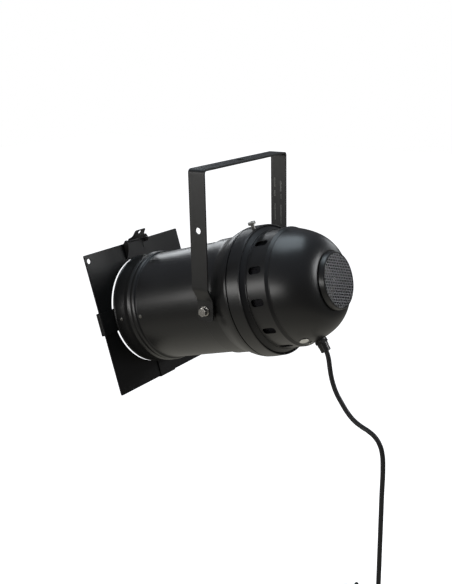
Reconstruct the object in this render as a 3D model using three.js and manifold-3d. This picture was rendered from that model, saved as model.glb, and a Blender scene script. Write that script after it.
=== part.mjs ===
// A par can stage light hung from its yoke: a long can with a square filter frame on its nose,
// a sealed-beam lamp behind the collar and a domed rear cap with vents, a grille and a mains lead.
// Millimetres, +Z up. The origin is the centre of the hanging hole, on the yoke's top face.
// X runs along the tilt axis and the beam points towards -Y, tilted down.
import * as THREE from 'three';
import { mergeVertices } from 'three/addons/utils/BufferGeometryUtils.js';
import Module from 'manifold-3d';

const wasm = await Module();
wasm.setup();

// ---------- driving dimensions ----------
const TILT = THREE.MathUtils.degToRad(15.7); // nose-down angle of the can at rest
const GAP = 0.3; // between pieces that touch

const YOKE = {
  span: 239, drop: 227, width: 30, thick: 3, bend: 6, // outside span, top face to tilt axis
  jogTop: 38, jogFoot: 18, jogIn: 12.4, foot: 17, // heights above and below the tilt axis
  topHole: 6.5, sideHole: 5.2, sideHoleRise: 132.5, corner: 6,
};
const BOLT = { r: 4, hole: 4.4, headFlats: 13, headLong: 5.4, end: 83 };
const WASHER = { r: 8, thick: 1.6, springR: 7, discR: 12 };

// Places along the can are distances behind the tilt axis, so the nose is negative.
const CAN = { nose: -212.7, barrelR: 95.6, wall: 1.4, barrelEnd: 13, sides: 48 };
const RIM = { r: 98.9, bandR: 97.8, boreR: 95, beadR: 100, beads: [-176, -164] };
const SLEEVE = {
  front: -17, r: 98, bore: 96, flareStart: 10, flareEnd: 42, flangeR: 108.8, flangeEnd: 48.8,
};
const SPIGOT = { r: 105.2, bore: 103.6, end: 60, seat: 50, seatR: 97.5 };
const COLLAR = { front: 50.2, rear: 74.5, frontR: 109, rearR: 107.6, bore: 105.6 };
const CAP = {
  flange: 66.4, flangeR: 105, flangeEnd: 73, lipR: 98.9, lipStart: 79.2, lipEnd: 80.9,
  bandR: 97.2, bandEnd: 114.6, stepR: 93.4, stepEnd: 119.6, wall: 1.6, domeStart: 121.2, domeEnd: 178.6,
};
const DOME = { centre: -373.2, long: 554.7, r: 115.9, power: 4.42 }; // a superellipse about the can's axis
const VENT = { count: 12, at: 96, long: 23, wide: 12, corner: 5 };
const BAFFLE = { r: 91.2, bore: 90, front: 82, rear: 111.6, flangeR: 95.2, flange: 110.4 };
const BOSS = { r: 46.8, tipR: 44.9, bore: 40.5, base: 179.4, tip: 188.4, spigotR: 43.6 };
const GRILLE = { r: 42.6, thick: 1.2, holeR: 2.4, pitch: 9.4, rings: 3 };

const FRAME = { side: 254, holeR: 98.4, rear: -215.6, thick: 2.6, leaf: 0.9, fold: 2, hangHole: 4.6 };
const BRACKET = {
  wide: 40, thick: 1.2, footR: 93.9, footEnd: -145, web: -213.1, lip: -223, lipInner: 119,
  sideWall: 130.2, bottomWall: 128.6, sideRise: 3.5, rivets: [-197, -153],
};
const RIVET = { shank: 1.9, hole: 2.3, head: 3.5, high: 1.7 };
const LATCH = {
  wide: 56, earFeet: [121, 114], earBack: -202, plateTop: 127.8, // the bracket's plate and its two ears
  at: -205, rise: 129.5, pin: 1.2, knuckle: 2.5, // the hinge
  flapWide: 50, long: 22, tipWide: 28, lean: 45, knuckles: [[-8, 22], [-25, -21.5]],
};

const LAMP = { lens: 45, seat: 51.9, rimEnd: 57.5, rimR: 101.5, neck: 138, neckR: 30, wall: 3, ventR: 6 };
const LAMP_BASE = { end: 150, r: 24, pinSpread: 8, pinWide: 7, pinThick: 1.6, pinEnd: 162 };
const HOLDER = { front: 150.6, rear: 165.9, r: 29, bar: 166.3, barThick: 2, barHalf: 63.5, barWide: 20 };

const THUMBSCREW = { at: 69, turn: 11, tip: 105.3, r: 3, head: 115.6, headR: 6.4, headHigh: 4.8 };
const GLAND = { at: 129.5, lean: 16, flats: 22, nut: 21, bore: 4.6, neck: 9, shank: 9.8, hole: 10.3 };
const LABEL = { at: 129, turn: 150, r: 7.5 };
const EARTH = { at: 127.5, turn: 162.5, r: 3.4 };

const CORD_R = 4;
const COIL = { r: 41, turns: 3, pitch: 8.2, drop: 530, back: 265 }; // measured from the tilt axis
const PLUG = { boot: 42.3, shell: 62, r: 18, body: 34, pinR: 2.4, pinLong: 19, pinSpread: 9.5 };

// ---------- solids ----------
// A geometry as a closed solid whose faces point out.
function solid(geometry) {
  const bare = geometry.index ? geometry.clone() : geometry;
  for (const name of Object.keys(bare.attributes)) {
    if (name !== 'position') {
      bare.deleteAttribute(name);
    }
  }
  const merged = mergeVertices(bare, 1e-4);
  const points = Float32Array.from(merged.attributes.position.array);
  const faces = [];
  const index = merged.index.array;
  for (let i = 0; i < index.length; i += 3) {
    const [a, b, c] = [index[i], index[i + 1], index[i + 2]];
    if (a !== b && b !== c && c !== a) {
      faces.push(a, b, c);
    }
  }
  if (volume(points, faces) < 0) {
    for (let i = 0; i < faces.length; i += 3) {
      [faces[i], faces[i + 1]] = [faces[i + 1], faces[i]];
    }
  }
  const mesh = new wasm.Mesh({
    numProp: 3,
    vertProperties: points,
    triVerts: Uint32Array.from(faces),
  });
  return new wasm.Manifold(mesh);
}

function volume(points, faces) {
  const [a, b, c] = [new THREE.Vector3(), new THREE.Vector3(), new THREE.Vector3()];
  let sum = 0;
  for (let i = 0; i < faces.length; i += 3) {
    a.fromArray(points, 3 * faces[i]);
    b.fromArray(points, 3 * faces[i + 1]);
    c.fromArray(points, 3 * faces[i + 2]);
    sum += a.dot(b.cross(c)) / 6;
  }
  return sum;
}

function cut(body, ...tools) {
  return tools.reduce((left, tool) => left.subtract(tool), body);
}

function join(...bodies) {
  return bodies.reduce((all, body) => all.add(body));
}

// A named mesh of a solid, with its own material.
function piece(name, body, finish) {
  const mesh = body.getMesh();
  const geometry = new THREE.BufferGeometry();
  geometry.setAttribute('position', new THREE.BufferAttribute(Float32Array.from(mesh.vertProperties), 3));
  geometry.setIndex([...mesh.triVerts]);
  geometry.computeVertexNormals();
  const made = new THREE.Mesh(geometry, new THREE.MeshStandardMaterial(finish));
  made.name = name;
  return made;
}

// A body of revolution about the Y axis, from its closed outline as [radius, place] pairs.
function turned(outline, sides = 20) {
  const points = outline.map(([r, y]) => new THREE.Vector2(r, y));
  if (outline[0][0] > 0 || outline.at(-1)[0] > 0) {
    points.push(points[0].clone());
  }
  return solid(new THREE.LatheGeometry(points, sides));
}

// A plain rod, or with a bore a ring, between two places on the Y axis.
function rod(r, from, to, sides = 20, bore = 0) {
  const outline = [[bore, from], [r, from], [r, to], [bore, to]];
  return turned(outline, sides);
}

// A regular prism with that many flats, across-flats size given, between two places on the Y axis.
function prism(flats, size, from, to) {
  const r = size / 2 / Math.cos(Math.PI / flats);
  return solid(new THREE.LatheGeometry(
    [[0, from], [r, from], [r, to], [0, to]].map(([x, y]) => new THREE.Vector2(x, y)),
    flats,
  ));
}

function block(x0, x1, y0, y1, z0, z1) {
  const box = new THREE.BoxGeometry(x1 - x0, y1 - y0, z1 - z0);
  return solid(box.translate((x0 + x1) / 2, (y0 + y1) / 2, (z0 + z1) / 2));
}

// A flat outline drawn in XY, as a shape or a list of points, made thick along Z.
function plate(outline, from, to, curveSegments = 4) {
  const drawn = outline instanceof THREE.Shape;
  const shape = drawn ? outline : new THREE.Shape(outline.map(([a, b]) => new THREE.Vector2(a, b)));
  const made = new THREE.ExtrudeGeometry(shape, { depth: to - from, bevelEnabled: false, curveSegments });
  return made.translate(0, 0, from);
}

// Turns a plate drawn in XY so that it is drawn in (X, Z) and thick along Y.
function standing(geometry) {
  return solid(geometry.rotateX(Math.PI / 2).scale(1, -1, 1));
}

// Turns a plate drawn in XY so that it is drawn in (Y, Z) and thick along X.
function sideways(geometry) {
  return solid(geometry.rotateX(Math.PI / 2).rotateZ(Math.PI / 2));
}

function roundedOutline(x0, x1, y0, y1, r) {
  const shape = new THREE.Shape();
  shape.moveTo(x0 + r, y0);
  shape.lineTo(x1 - r, y0);
  shape.absarc(x1 - r, y0 + r, r, -Math.PI / 2, 0, false);
  shape.lineTo(x1, y1 - r);
  shape.absarc(x1 - r, y1 - r, r, 0, Math.PI / 2, false);
  shape.lineTo(x0 + r, y1);
  shape.absarc(x0 + r, y1 - r, r, Math.PI / 2, Math.PI, false);
  shape.lineTo(x0, y0 + r);
  shape.absarc(x0 + r, y0 + r, r, Math.PI, 1.5 * Math.PI, false);
  return shape;
}

// A round section drawn along a smooth route.
function tube(points, r, sides, steps) {
  const route = new THREE.CatmullRomCurve3(points, false, 'centripetal');
  const ring = [];
  for (let i = 0; i < sides; i++) {
    const a = (2 * Math.PI * i) / sides;
    ring.push(new THREE.Vector2(r * Math.cos(a), r * Math.sin(a)));
  }
  return solid(new THREE.ExtrudeGeometry(new THREE.Shape(ring), { steps, extrudePath: route }));
}

// Moves a solid that is made along the Y axis: its axis then points out of the can, turned
// about the can's axis from the top towards +X, leaning back, with its foot at [radius, place].
function outOfCan(body, r, place, turn, lean = 0) {
  const degrees = THREE.MathUtils.radToDeg(lean);
  return body.rotate([90 - degrees, 0, 0]).translate([0, place, r]).rotate([0, turn, 0]);
}

// Turns a solid made along the Y axis to lie along X, on the +X side or the -X side.
function alongX(body, side) {
  return body.rotate([0, 0, side > 0 ? -90 : 90]);
}

// ---------- finishes ----------
const BLACK = { color: 0x1b1b1c, roughness: 0.5, metalness: 0.25 };
const DARK_STEEL = { color: 0x161617, roughness: 0.6, metalness: 0.3 };
const ZINC = { color: 0xc4c2bc, roughness: 0.35, metalness: 0.9 };
const MESH_METAL = { color: 0x8e8e90, roughness: 0.5, metalness: 0.7 };
const RUBBER = { color: 0x0e0e0f, roughness: 0.75, metalness: 0 };
const PLASTIC = { color: 0x121213, roughness: 0.5, metalness: 0 };
const CERAMIC = { color: 0xd9d2c4, roughness: 0.6, metalness: 0 };
const LAMP_GLASS = { color: 0xc9ced2, roughness: 0.12, metalness: 0.5 };
const BRASS = { color: 0xb08d4a, roughness: 0.35, metalness: 0.9 };
const FOIL = { color: 0xd8d8d4, roughness: 0.3, metalness: 0.6 };
const FIBRE = { color: 0x2a2826, roughness: 0.85, metalness: 0 };
const WIRES = { live: 0x5a3520, neutral: 0x25406e, earth: 0x6f8a2a };

// ---------- yoke ----------
function yokeSide(side) {
  const { span, drop, thick, bend, jogTop, jogFoot, jogIn, foot } = YOKE;
  const half = span / 2;
  const lift = thick * Math.tan(Math.atan2(jogIn, jogTop - jogFoot) / 2);
  const corner = (r) => {
    const points = [];
    for (let i = 0; i <= 4; i++) {
      const a = (Math.PI / 8) * i;
      points.push([half - bend + r * Math.sin(a), -bend + r * Math.cos(a)]);
    }
    return points;
  };
  const outside = [
    ...corner(bend), [half, -drop + jogTop], [half - jogIn, -drop + jogFoot], [half - jogIn, -drop - foot],
  ];
  const inside = [
    [half - jogIn - thick, -drop - foot], [half - jogIn - thick, -drop + jogFoot + lift],
    [half - thick, -drop + jogTop + lift], ...corner(bend - thick).reverse(),
  ];
  return { outside: outside.map(([x, z]) => [side * x, z]), inside: inside.map(([x, z]) => [side * x, z]) };
}

function yoke() {
  const { width, drop, foot, corner, span, topHole, sideHole, sideHoleRise } = YOKE;
  const [left, right] = [yokeSide(1), yokeSide(-1)];
  const outline = [...left.outside, ...left.inside, ...right.inside.reverse(), ...right.outside.reverse()];
  const strap = standing(plate(outline, -width / 2, width / 2));
  const rounded = roundedOutline(-width / 2, width / 2, -drop - foot, corner * 2, corner);
  const trimmed = strap.intersect(sideways(plate(rounded, -span, span)));
  const axisHole = alongX(rod(BOLT.hole, -span, span, 16), 1).translate([0, 0, -drop]);
  const hang = rod(topHole, -10, 10, 20).rotate([90, 0, 0]);
  const safety = alongX(rod(sideHole, 50, span, 16), 1).translate([0, 0, sideHoleRise - drop]);
  return cut(trimmed, axisHole, hang, safety);
}

// The bolt, washers, friction disc and nut on one side of the tilt axis, from the head inwards.
function tiltStack(side, name) {
  const armOut = YOKE.span / 2 - YOKE.jogIn;
  const armIn = armOut - YOKE.thick;
  const flat = armOut + GAP;
  const spring = flat + WASHER.thick + GAP;
  const head = spring + WASHER.thick + GAP;
  const placed = (body) => alongX(body, side);
  const bolt = join(
    prism(6, BOLT.headFlats, head, head + BOLT.headLong),
    rod(BOLT.r, BOLT.end, head + 1, 16),
  );
  const coil = rod(WASHER.springR, spring, spring + WASHER.thick, 20, BOLT.hole);
  const split = block(-1, 1, spring - 1, spring + 3, 4, 12);
  const disc = rod(WASHER.discR, SLEEVE.r + 2 * GAP, armIn - GAP, 24, BOLT.hole);
  const nut = cut(prism(6, BOLT.headFlats, 85, 93.2), rod(BOLT.r + GAP, 80, 96, 16));
  return [
    piece(`tilt_bolt_${name}`, placed(bolt), ZINC),
    piece(`flat_washer_${name}`, placed(rod(WASHER.r, flat, flat + WASHER.thick, 24, BOLT.hole)), ZINC),
    piece(`spring_washer_${name}`, placed(cut(coil, split)), ZINC),
    piece(`friction_disc_${name}`, placed(disc), FIBRE),
    piece(`tilt_nut_${name}`, placed(nut), ZINC),
  ];
}

// ---------- front of the can ----------
function bead(at, r, foot) {
  const half = 6;
  return [-1, -0.6, -0.2, 0.2, 0.6, 1].map((t) => [foot + (r - foot) * (1 - t * t), at + half * t]);
}

function barrel() {
  const { nose, barrelR, wall, barrelEnd, sides } = CAN;
  const { r, bandR, boreR, beadR, beads } = RIM;
  const outline = [
    [boreR, nose], [r - 0.8, nose], [r, nose + 1], [r, nose + 3.2], [bandR, nose + 4.2],
    ...bead(beads[0], beadR, bandR), ...bead(beads[1], beadR - 0.6, bandR - 0.6).slice(1, 5),
    [barrelR, beads[1] + 7], [barrelR, barrelEnd],
    [barrelR - wall, barrelEnd], [barrelR - wall, beads[1] + 6], [boreR, beads[1] + 2],
  ];
  const tools = BRACKET.rivets.flatMap((place) => (
    bracketTurns().map(([turn, , , shift]) => rivetHole(place, turn + rivetTurn(shift)))
  ));
  tools.push(alongX(rod(BOLT.hole, -120, 120, 16), 1));
  return cut(turned(outline, sides), ...tools);
}

function lampHousing() {
  const { front, r, bore, flareStart, flareEnd, flangeR, flangeEnd } = SLEEVE;
  const flare = [];
  for (let i = 0; i <= 6; i++) {
    const t = i / 6;
    const rise = 0.55 * t + 0.45 * (1 - Math.cos(Math.PI * t)) / 2;
    flare.push([r + (flangeR - 0.6 - r) * rise, flareStart + (flareEnd - flareStart) * t]);
  }
  const outline = [
    [bore, front], [r - 0.5, front], [r, front + 0.6], ...flare,
    [flangeR, flareEnd + 3], [flangeR, flangeEnd], [SPIGOT.r, flangeEnd], [SPIGOT.r, SPIGOT.end],
    [SPIGOT.bore, SPIGOT.end], [SPIGOT.bore, SPIGOT.seat + 1.5], [SPIGOT.seatR, SPIGOT.seat + 1.5],
    [SPIGOT.seatR, SPIGOT.seat], [SPIGOT.bore - 1, SPIGOT.seat], [SPIGOT.bore - 1, flareEnd + 2],
    ...flare.slice(1, 6).reverse().map(([x, y]) => [x - 2, y + 1]), [bore, flareStart + 1],
  ];
  return cut(turned(outline, CAN.sides), alongX(rod(BOLT.hole, -120, 120, 16), 1));
}

// ---------- filter frame and its brackets ----------
// [turn about the can's axis, name, outer wall radius, sideways shift]
function bracketTurns() {
  return [
    [90, 'left', BRACKET.sideWall, -BRACKET.sideRise],
    [180, 'bottom', BRACKET.bottomWall, 0],
    [270, 'right', BRACKET.sideWall, BRACKET.sideRise],
    [0, 'top', 0, 0],
  ];
}

// The rivets sit in line with their channel's middle.
function rivetTurn(shift) {
  return THREE.MathUtils.radToDeg(Math.atan2(shift, BRACKET.footR));
}

function rivetHole(place, turn) {
  return outOfCan(rod(RIVET.hole, -20, 20, 8), CAN.barrelR, place, turn);
}

// The curved foot that is riveted inside the nose, made at the top of the can.
function bracketFoot(wide) {
  const { footR, thick, web, footEnd } = BRACKET;
  const ring = rod(footR, web - thick, footEnd, CAN.sides, footR - thick);
  return ring.intersect(block(-wide / 2, wide / 2, -300, 0, 0, 100));
}

function frameBracket(turn, wall, shift) {
  const { wide, thick, footR, web, lip, lipInner } = BRACKET;
  const section = [
    [web, footR - 3], [web, wall - thick], [lip + thick, wall - thick], [lip + thick, lipInner],
    [lip, lipInner], [lip, wall], [web, wall],
  ];
  const outline = [
    [web - thick, footR - 3], [web - thick, wall - thick], [lip + thick, wall - thick],
    [lip + thick, lipInner], [lip, lipInner], [lip, wall], [web, wall], section[0],
  ];
  const channel = sideways(plate(outline, -wide / 2, wide / 2)).translate([shift, 0, 0]);
  const holes = BRACKET.rivets.map((place) => rivetHole(place, rivetTurn(shift)));
  return cut(join(bracketFoot(wide), channel), ...holes).rotate([0, turn, 0]);
}

function latchBracket() {
  const { thick, footR, web } = BRACKET;
  const { wide, at, rise, pin, earFeet, earBack, plateTop } = LATCH;
  const half = wide / 2;
  const front = web - thick;
  const strap = block(-half, half, front, web, 99, plateTop);
  const neck = block(-BRACKET.wide / 2, BRACKET.wide / 2, front, web, footR - 3, 100);
  const ears = [-half, half - thick].map((from, i) => {
    const round = alongX(rod(3, from, from + thick, 12), 1).translate([0, at, rise]);
    return join(block(from, from + thick, front, earBack, earFeet[i], rise), round);
  });
  const bore = alongX(rod(pin + GAP, -wide, wide, 10), 1).translate([0, at, rise]);
  const holes = BRACKET.rivets.map((place) => rivetHole(place, 0));
  return cut(join(bracketFoot(BRACKET.wide), neck, strap, ...ears), bore, ...holes);
}

// The flap is drawn lying back from its pin along +Y, then leaned up.
function latchFlap() {
  const { flapWide, tipWide, long, knuckle, knuckles, pin, at, rise, lean } = LATCH;
  const half = flapWide / 2;
  const tip = tipWide / 2;
  const outline = new THREE.Shape();
  outline.moveTo(-half, 3.4);
  outline.lineTo(half, 3.4);
  outline.lineTo(half, 6);
  outline.quadraticCurveTo(tip + 1, 8, tip, long - 5);
  outline.quadraticCurveTo(tip - 1, long, tip - 5, long);
  outline.lineTo(5 - tip, long);
  outline.quadraticCurveTo(1 - tip, long, -tip, long - 5);
  outline.quadraticCurveTo(-tip - 1, 8, -half, 6);
  const sheet = solid(plate(outline, -0.6, 0.6));
  const ears = knuckles.map(([from, to]) => alongX(rod(knuckle, from, to, 12), 1));
  const arms = knuckles.map(([from, to]) => block(from, to, 0, 5, -0.6, 0.6));
  const bore = alongX(rod(pin + GAP, -flapWide, flapWide, 10), 1);
  const finger = rod(3.3, -5, 5, 12).rotate([90, 0, 0]).translate([0, 16, 0]);
  return cut(join(sheet, ...ears, ...arms), bore, finger).rotate([lean, 0, 0]).translate([0, at, rise]);
}

// Five turns round the pin, with a leg down over the bracket's plate.
function latchSpring() {
  const { at, rise } = LATCH;
  const [near, far, coilR, turns] = [-20.2, -9.2, 2.4, 5];
  const points = [new THREE.Vector3(near, -7.1, -18), new THREE.Vector3(near, -4.6, -9)];
  for (let i = 0; i <= turns * 8; i++) {
    const a = Math.PI + (2 * Math.PI * i) / 8;
    const x = near + ((far - near) * i) / (turns * 8);
    points.push(new THREE.Vector3(x, coilR * Math.cos(a), -coilR * Math.sin(a)));
  }
  return tube(points, 0.55, 6, 66).translate([0, at, rise]);
}

function filterFrame() {
  const { side, holeR, rear, thick, leaf, fold, hangHole } = FRAME;
  const half = side / 2;
  const slab = block(-half, half, rear - thick, rear, -half, half);
  const slot = block(-half - 1, half - fold, rear - thick + leaf, rear - leaf, -half - 1, half + 1);
  const hole = rod(holeR, rear - 5, rear + 3, CAN.sides);
  const hang = rod(hangHole, rear - 5, rear + 3, 12).translate([half - 9, 0, half - 11.5]);
  return cut(slab, slot, hole, hang);
}

// ---------- lamp ----------
function lampEnvelope() {
  const { lens, seat, rimEnd, rimR, neck, neckR, wall, ventR } = LAMP;
  const front = [[0, lens], [35, lens + 0.8], [68, lens + 3.2], [95.5, seat]];
  const bowl = [[97, rimEnd + 2], [91, 68], [84, 81], [74, 97], [61, 113], [46, 127], [neckR + 4, 134]];
  const inside = [
    ...bowl.map(([r, y]) => [r - wall, y - wall / 2]).reverse(),
    ...front.slice(1, 3).map(([r, y]) => [r, y + wall]).reverse(), [0, lens + wall],
  ];
  return turned([
    ...front, [rimR, seat], [rimR, rimEnd], ...bowl,
    [neckR, neck], [ventR, neck], [ventR, neck - 6], ...inside,
  ], 36);
}

function lampBase() {
  return rod(LAMP_BASE.r, LAMP.neck + GAP, LAMP_BASE.end, 20);
}

function lampPin(side) {
  const { end, pinSpread, pinWide, pinThick, pinEnd } = LAMP_BASE;
  const x = side * pinSpread;
  return block(x - pinThick / 2, x + pinThick / 2, end + GAP, pinEnd, -pinWide / 2, pinWide / 2);
}

function retainingRing() {
  const wire = [];
  for (let i = 0; i < 8; i++) {
    const a = (Math.PI / 4) * i;
    wire.push([101.9 + 1.3 * Math.cos(a), 59.2 + 1.3 * Math.sin(a)]);
  }
  return cut(turned(wire, CAN.sides), block(-9, 9, 50, 70, -110, -90));
}

// ---------- rear assembly ----------
function domeR(place, inset = 0) {
  const t = Math.min((place - DOME.centre) / (DOME.long - inset), 1);
  return (DOME.r - inset) * (1 - t ** DOME.power) ** (1 / DOME.power);
}

function rearCap() {
  const { flange, flangeR, flangeEnd, lipR, lipStart, lipEnd, bandR, bandEnd, stepR, stepEnd } = CAP;
  const { wall, domeStart, domeEnd } = CAP;
  const outer = [];
  const inner = [];
  for (let i = 0; i <= 10; i++) {
    const place = domeStart + (domeEnd - domeStart) * Math.sin((Math.PI / 2) * (i / 10));
    outer.push([domeR(place), place]);
    inner.push([domeR(Math.min(place, domeEnd - wall), wall), Math.min(place, domeEnd - wall)]);
  }
  const mouth = BOSS.spigotR + GAP;
  const outline = [
    [flangeR - wall, flange], [flangeR, flange], [flangeR, flangeEnd], [lipR, lipStart],
    [lipR, lipEnd - 0.6], [bandR, lipEnd + 0.6], [bandR, bandEnd], [stepR, stepEnd],
    ...outer, [mouth, domeEnd], [mouth, domeEnd - wall], ...inner.slice(0, 10).reverse(),
    [stepR - wall, stepEnd - 0.4], [bandR - wall, bandEnd - 1.6], [bandR - wall, lipEnd + 0.6],
    [lipR - wall, lipStart - 0.7], [flangeR - wall, flangeEnd - 0.7],
  ];
  const vents = [];
  for (let i = 0; i < VENT.count; i++) {
    vents.push(ventTool((360 / VENT.count) * i));
  }
  const glandHole = outOfCan(rod(GLAND.hole, -20, 20, 16), domeR(GLAND.at), GLAND.at, 180, glandLean());
  const earthHole = onDome(rod(2.4, -20, 20, 8), EARTH);
  return cut(turned(outline, CAN.sides), ...vents, glandHole, earthHole);
}

function ventTool(turn) {
  const { at, long, wide, corner } = VENT;
  const outline = roundedOutline(-wide / 2, wide / 2, at - long / 2, at + long / 2, corner);
  return solid(plate(outline, 85, 110, 2)).rotate([0, turn, 0]);
}

// How far the dome's outward normal leans back at a place.
function domeLean(place) {
  return Math.atan2(domeR(place - 2) - domeR(place + 2), 4);
}

function onDome(body, { at, turn }) {
  return outOfCan(body, domeR(at), at, turn, domeLean(at));
}

function glandLean() {
  return THREE.MathUtils.degToRad(GLAND.lean);
}

function collarRing() {
  const { front, rear, frontR, rearR, bore } = COLLAR;
  const outline = [
    [bore, front], [frontR - 0.6, front], [frontR, front + 0.8], [frontR, front + 4],
    [rearR + 0.4, rear - 2], [rearR, rear - 0.6], [rearR - 0.6, rear], [bore, rear],
  ];
  const { r, at, turn } = THUMBSCREW;
  const screwHole = outOfCan(rod(r + GAP, -10, 10, 16), bore, at, turn);
  return cut(turned(outline, CAN.sides), screwHole);
}

// A band that stops light leaving through the vents, on a flange inside the cap.
function lightBaffle() {
  const { r, bore, front, rear, flangeR, flange } = BAFFLE;
  const outline = [[bore, front], [r, front], [r, flange], [flangeR, flange], [flangeR, rear], [bore, rear]];
  return turned(outline, 40);
}

function grilleRing() {
  const { r, tipR, bore, base, tip, spigotR } = BOSS;
  const seat = GRILLE.r + GAP;
  const outline = [
    [spigotR - 1.4, base - 6], [spigotR, base - 6], [spigotR, base], [r, base], [r - 0.5, base + 3.5],
    [tipR + 0.3, tip - 1.2], [tipR - 0.7, tip], [seat, tip], [seat, tip - 2],
    [bore, tip - 2], [bore, tip - 3.4],
    [spigotR - 1.4, tip - 4.2],
  ];
  return turned(outline, 36);
}

function rearGrille() {
  const { r, thick, holeR, pitch, rings } = GRILLE;
  const front = BOSS.tip - 2 + GAP;
  const holes = [];
  for (let i = -rings; i <= rings; i++) {
    for (let k = -rings; k <= rings; k++) {
      if (Math.abs(i + k) <= rings) {
        const tool = rod(holeR, front - 2, front + thick + 2, 6);
        holes.push(tool.translate([pitch * (i + k / 2), 0, pitch * k * Math.sqrt(0.75)]));
      }
    }
  }
  return cut(rod(r, front, front + thick, 36), ...holes);
}

function lampholder() {
  const { front, rear, r } = HOLDER;
  const outline = [[0, front], [r - 1, front], [r, front + 1], [r, rear - 4], [r - 4, rear], [0, rear]];
  const body = turned(outline, 24);
  const { pinSpread, pinWide, pinThick, pinEnd } = LAMP_BASE;
  const [halfThick, halfWide] = [pinThick / 2 + GAP, pinWide / 2 + GAP];
  const slots = [-1, 1].map((side) => {
    const x = side * pinSpread;
    return block(x - halfThick, x + halfThick, front - 1, pinEnd + 1, -halfWide, halfWide);
  });
  const screws = [-1, 1].map((side) => rod(1.9, rear - 9, rear + 1, 8).translate([18 * side, 0, 0]));
  return cut(body, ...slots, ...screws);
}

function holderBar() {
  const { bar, barThick, barHalf, barWide } = HOLDER;
  const outline = roundedOutline(-barHalf, barHalf, -barWide / 2, barWide / 2, 6);
  const strip = standing(plate(outline, bar, bar + barThick));
  const screws = [-1, 1].map((side) => rod(2, bar - 2, bar + 5, 8).translate([18 * side, 0, 0]));
  return cut(strip, ...screws);
}

function holderScrew(side) {
  const { rear, bar, barThick } = HOLDER;
  const top = bar + barThick + GAP;
  const outline = [
    [0, rear - 8], [1.6, rear - 8], [1.6, top], [3.4, top], [3.4, top + 1.4], [2, top + 2.4], [0, top + 2.4],
  ];
  const screw = turned(outline, 10);
  return screw.translate([18 * side, 0, 0]);
}

// ---------- thumbscrew ----------
function thumbscrew() {
  const { tip, r, head, headR, headHigh, at, turn } = THUMBSCREW;
  const knob = turned([
    [0, tip], [r, tip], [r, head], [headR - 0.6, head], [headR, head + 0.6], [headR, head + headHigh - 0.8],
    [headR - 0.8, head + headHigh], [0, head + headHigh],
  ], 16);
  return outOfCan(knob, 0, at, turn);
}

// ---------- cable gland ----------
function atGland(body) {
  return outOfCan(body, domeR(GLAND.at), GLAND.at, 180, glandLean());
}

function glandBody() {
  const { flats, bore, neck, shank } = GLAND;
  const body = join(prism(6, flats, 1.2, 6), rod(shank, -12, 1.8, 20), rod(neck, 5, 12, 20));
  return atGland(cut(body, rod(bore, -20, 20, 16)));
}

function glandNut() {
  const { flats, nut, bore, neck } = GLAND;
  const r = flats / 2 / Math.cos(Math.PI / 6);
  const dome = turned([[0, 0], [r, 0], [r, nut - 4], [r - 2, nut - 1.2], [r - 4.5, nut], [0, nut]], 24);
  const outside = prism(6, flats, 6.4, nut).intersect(dome);
  return atGland(cut(outside, rod(neck + GAP, 0, 16.6, 20), rod(bore + 0.2, 10, 30, 16)));
}

function glandSeal() {
  return atGland(rod(8, 12.4, 16.2, 16, CORD_R + GAP));
}

function glandLocknut() {
  return atGland(cut(prism(6, 25, -8.4, -3.4), rod(GLAND.shank + GAP, -20, 20, 20)));
}

// ---------- earth screw, label and inner wires ----------
function earthScrew() {
  const { r } = EARTH;
  const screw = turned([[0, -5], [2, -5], [2, 0.4], [r, 0.4], [r, 1.6], [r - 1.2, 2.6], [0, 2.6]], 12);
  return onDome(screw, EARTH);
}

function roundLabel() {
  return onDome(rod(LABEL.r, 0.35, 0.85, 20), LABEL);
}

// Each wire runs from the lampholder's side, or the earth screw, to the gland's inner mouth.
function innerWire(points) {
  return tube(points.map((p) => new THREE.Vector3(...p)), 1.3, 6, 14);
}

function innerWires() {
  const routes = {
    live: [[-7, 161, -30.5], [-10, 155, -45], [-8, 142, -60], [-3, 131, -70], [-1.8, 126.4, -77.6]],
    neutral: [[7, 161, -30.5], [10, 155, -45], [8, 142, -60], [3, 131, -70], [1.8, 126.4, -77.6]],
    earth: [[25, 127, -80], [21, 124.5, -73], [14, 122, -68], [5, 121.5, -69.5], [0, 123.4, -76.5]],
  };
  return Object.entries(routes).map(([name, route]) => {
    return piece(`${name}_wire`, innerWire(route), { color: WIRES[name], roughness: 0.6, metalness: 0 });
  });
}

// ---------- mains lead ----------
// The route hangs in the X = 0 plane, as [back, up] from the tilt axis.
function cordRoute() {
  const lean = glandLean() - Math.PI / 2;
  const onAxis = (g) => {
    const [s, u] = [GLAND.at + g * Math.cos(lean), -domeR(GLAND.at) + g * Math.sin(lean)];
    return [s * Math.cos(TILT) - u * Math.sin(TILT), s * Math.sin(TILT) + u * Math.cos(TILT)];
  };
  const ring = Math.sqrt((COIL.r + CORD_R) ** 2 - (COIL.r - CORD_R) ** 2);
  const end = -COIL.drop + ring + GAP;
  return [
    onAxis(-6), onAxis(8), onAxis(22), [164.6, -82.5], [167, -97], [169.4, -110], [172.8, -122.5],
    [180.2, -140.1], [189.9, -154.9], [199.8, -168.2], [212.4, -180], [226, -187.3], [238.5, -192.2],
    [250, -199.5], [258.5, -211], [263.2, -226], [COIL.back, -245], [COIL.back, -300], [COIL.back, -380],
    [COIL.back, end],
  ];
}

function cord() {
  const points = cordRoute().map(([y, z]) => new THREE.Vector3(0, y, z));
  return tube(points, CORD_R, 10, 56);
}

// The coil hangs on edge, its turns side by side along X from the end of the route.
function coilRing() {
  const { r, turns, pitch, drop, back } = COIL;
  const ring = rod(r + CORD_R, -CORD_R, turns * pitch + CORD_R, 28, r - CORD_R);
  return alongX(ring, 1).translate([0, back - r, -drop]);
}

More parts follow.
